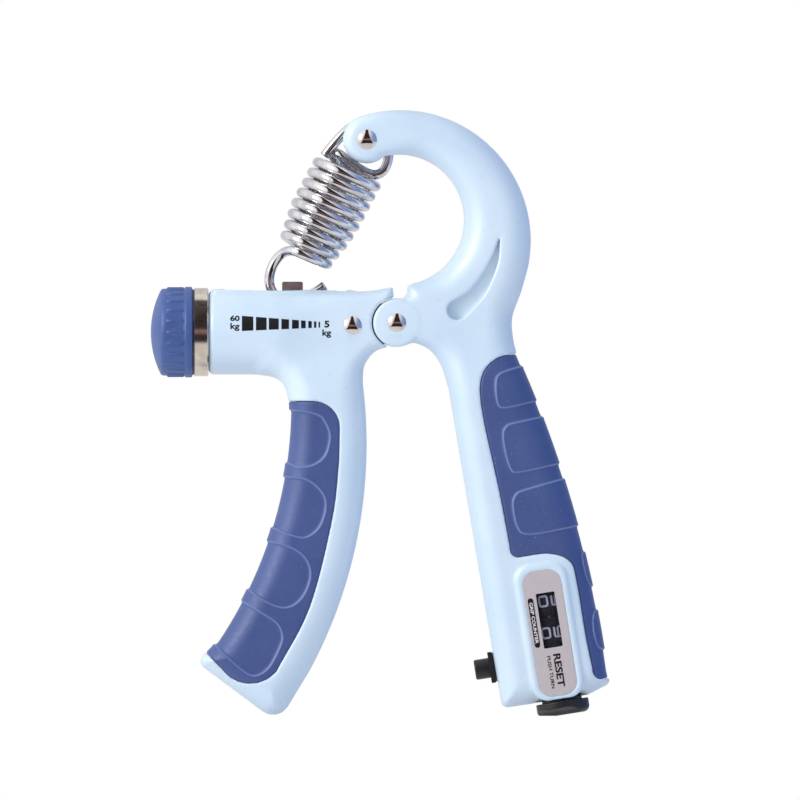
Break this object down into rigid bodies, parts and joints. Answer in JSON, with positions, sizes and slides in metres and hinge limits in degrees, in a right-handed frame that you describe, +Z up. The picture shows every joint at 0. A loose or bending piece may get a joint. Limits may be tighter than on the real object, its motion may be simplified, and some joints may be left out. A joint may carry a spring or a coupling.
{
  "type": "hand grip strengthener",
  "caption": "Sprung hand exerciser: two gripped arms hinged under a C-shaped lever, coil spring, resistance knob in a barrel and a squeeze counter with reset.",
  "frame": {"origin": "centre of the bounding box at the lowest point, on the surface the two feet stand on", "axes": "+Z up along the height of the C, +X from the adjusting knob towards the counter handle, -Y is the front face with the scale and counter window"},
  "size_m": [0.1208, 0.0238, 0.1597],
  "materials": {
    "casing": "satin pale blue moulded plastic",
    "grip": "matte slate blue soft grip",
    "knob": "satin slate blue moulded plastic",
    "polished_steel": "polished",
    "bright_steel": "zinc plated",
    "dark_steel": "dark plated",
    "spring_steel": "nickel plated wire",
    "nylon": "natural nylon",
    "black_plastic": "satin black",
    "label": "printed brushed plate",
    "lens": "clear",
    "digit_wheel": "black with pale numerals"
  },
  "bodies": {
    "adjuster_arm": {"adjuster_front_shell": "casing", "adjuster_rear_shell": "casing", "adjuster_grip": "grip", "adjuster_case_screws": "bright_steel", "hinge_tongue": "dark_steel", "tongue_rivet": "polished_steel", "barrel_collar": "polished_steel", "screw_bush": "nylon"},
    "lever_arm": {"lever_front_shell": "casing", "lever_rear_shell": "casing", "lever_grip": "grip", "lever_case_screws": "bright_steel", "hinge_pin": "polished_steel", "tip_pin": "polished_steel", "counter_housing": "black_plastic", "label_plate": "label", "window_lens": "lens", "carry_shaft": "bright_steel", "plunger_guide": "black_plastic", "plunger_spring": "spring_steel"},
    "knob": {"adjuster_knob": "knob", "adjuster_screw": "bright_steel", "screw_clip": "bright_steel"},
    "carriage": {"carriage_nut": "dark_steel", "spring_saddle": "dark_steel"},
    "spring_hanger": {"tip_roller": "nylon"},
    "spring_top": {"spring_upper_loop": "spring_steel"},
    "spring_middle": {"spring_coils": "spring_steel"},
    "spring_bottom": {"spring_lower_end": "spring_steel"},
    "plunger": {"plunger": "black_plastic"},
    "units_wheel": {"digit_wheel_units": "digit_wheel", "ratchet_wheel": "nylon"},
    "tens_wheel": {"digit_wheel_tens": "digit_wheel"},
    "pinion": {"carry_pinion": "nylon"},
    "reset_slider": {"reset_sleeve": "nylon"},
    "reset_knob": {"reset_knob": "black_plastic", "counter_shaft": "bright_steel"}
  },
  "joints": [
    {"name": "squeeze", "type": "hinge", "parent": "adjuster_arm", "child": "lever_arm", "pos_m": [0.00448, 0, 0.10365], "axis": [0, 1, 0], "range_deg": [0, 26], "stiffness_Nm_per_rad": 8, "springref_deg": -14.32},
    {"name": "knob_turn", "type": "hinge", "parent": "adjuster_arm", "child": "knob", "pos_m": [-0.05, 0, 0.1012], "axis": [1, 0, 0], "range_deg": [-2521, 1105]},
    {"name": "carriage_travel", "type": "slide", "parent": "adjuster_arm", "child": "carriage", "axis": [1, 0, 0], "range_m": [-0.0105, 0.0046]},
    {"name": "spring_swing", "type": "hinge", "parent": "lever_arm", "child": "spring_hanger", "pos_m": [-0.00345, 0, 0.15197], "axis": [0, 1, 0], "range_deg": [-6, 1]},
    {"name": "spring_tilt", "type": "hinge", "parent": "spring_hanger", "child": "spring_top", "pos_m": [-0.00345, 0, 0.15197], "axis": [0, 1, 0], "range_deg": [-6, 12]},
    {"name": "spring_stretch", "type": "slide", "parent": "spring_top", "child": "spring_middle", "axis": [-0.426, 0, -0.9047], "range_m": [-0.0002, 0.0125], "deforming": ["spring_coils", "spring_upper_loop"]},
    {"name": "spring_reach", "type": "slide", "parent": "spring_middle", "child": "spring_bottom", "axis": [-0.426, 0, -0.9047], "range_m": [-0.0026, 0.0056], "deforming": ["spring_lower_end"]},
    {"name": "plunger_press", "type": "slide", "parent": "lever_arm", "child": "plunger", "axis": [0.9877, 0, 0.1564], "range_m": [0, 0.003], "stiffness_N_per_m": 400, "springref_m": -0.001, "deforming": ["plunger_spring"]},
    {"name": "units_turn", "type": "hinge", "parent": "lever_arm", "child": "units_wheel", "pos_m": [0.04514, -0.00495, 0.02202], "axis": [-0.1564, 0, 0.9877], "continuous": true},
    {"name": "tens_turn", "type": "hinge", "parent": "lever_arm", "child": "tens_wheel", "pos_m": [0.04382, -0.00495, 0.03032], "axis": [-0.1564, 0, 0.9877], "continuous": true},
    {"name": "pinion_turn", "type": "hinge", "parent": "lever_arm", "child": "pinion", "pos_m": [0.04448, 0.002, 0.02617], "axis": [-0.1564, 0, 0.9877], "continuous": true},
    {"name": "reset_push", "type": "slide", "parent": "lever_arm", "child": "reset_slider", "axis": [-0.1564, 0, 0.9877], "range_m": [0, 0.0005], "stiffness_N_per_m": 1500, "springref_m": -0.001},
    {"name": "reset_turn", "type": "hinge", "parent": "reset_slider", "child": "reset_knob", "pos_m": [0.04815, -0.00495, 0.00301], "axis": [-0.1564, 0, 0.9877], "continuous": true}
  ],
  "couplings": [
    {"joint": "knob_turn", "follows": "carriage_travel", "rad_per_m": 4188.8},
    {"joint": "spring_tilt", "follows": "carriage_travel", "rad_per_m": -17.977},
    {"joint": "spring_reach", "follows": "carriage_travel", "ratio": -0.47},
    {"joint": "spring_swing", "follows": "squeeze", "ratio": -0.2},
    {"joint": "spring_stretch", "follows": "squeeze", "m_per_rad": 0.0261},
    {"joint": "tens_turn", "follows": "units_turn", "ratio": 0.1},
    {"joint": "pinion_turn", "follows": "units_turn", "ratio": -0.25}
  ]
}
